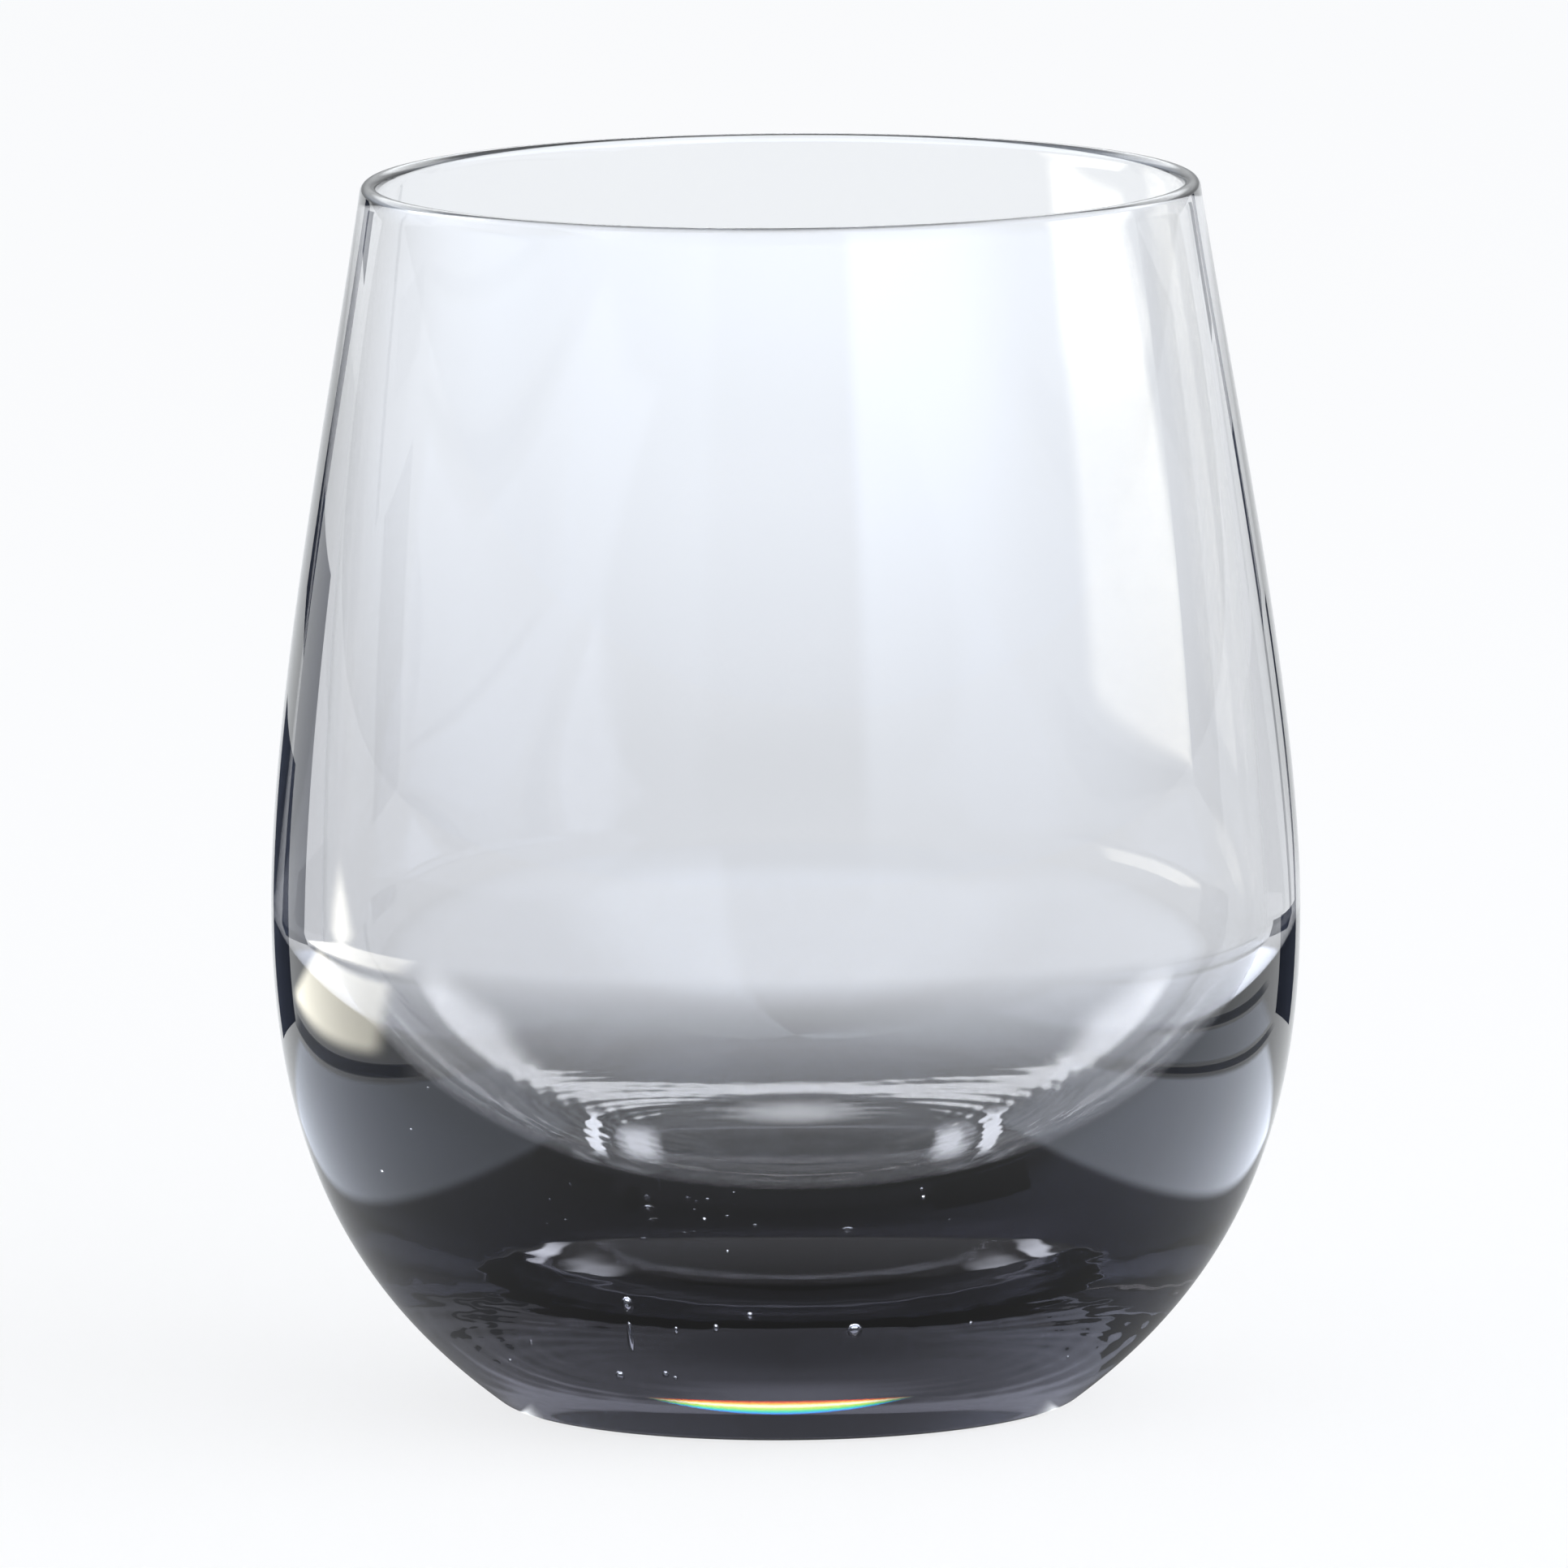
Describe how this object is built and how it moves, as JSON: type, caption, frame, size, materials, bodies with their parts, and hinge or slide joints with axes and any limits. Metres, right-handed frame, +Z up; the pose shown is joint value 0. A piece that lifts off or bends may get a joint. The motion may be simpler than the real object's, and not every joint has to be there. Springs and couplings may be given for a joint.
{
  "type": "water glass",
  "caption": "Round-bellied blown tumbler of smoke-grey glass with a thin inward-leaning wall, a polished rim and a heavy solid base ground flat to stand on.",
  "frame": {"origin": "centre of the flat foot, on the surface that the glass stands on", "axes": "+Z up along the axis of the glass, from the foot to the rim; X and Y are free, because the glass is round"},
  "size_m": [0.084, 0.084, 0.1],
  "materials": {
    "smoke_glass": "clear, fire-polished, smoke grey in the mass"
  },
  "bodies": {
    "root": {"bowl": "smoke_glass", "heavy_base": "smoke_glass"}
  },
  "joints": []
}
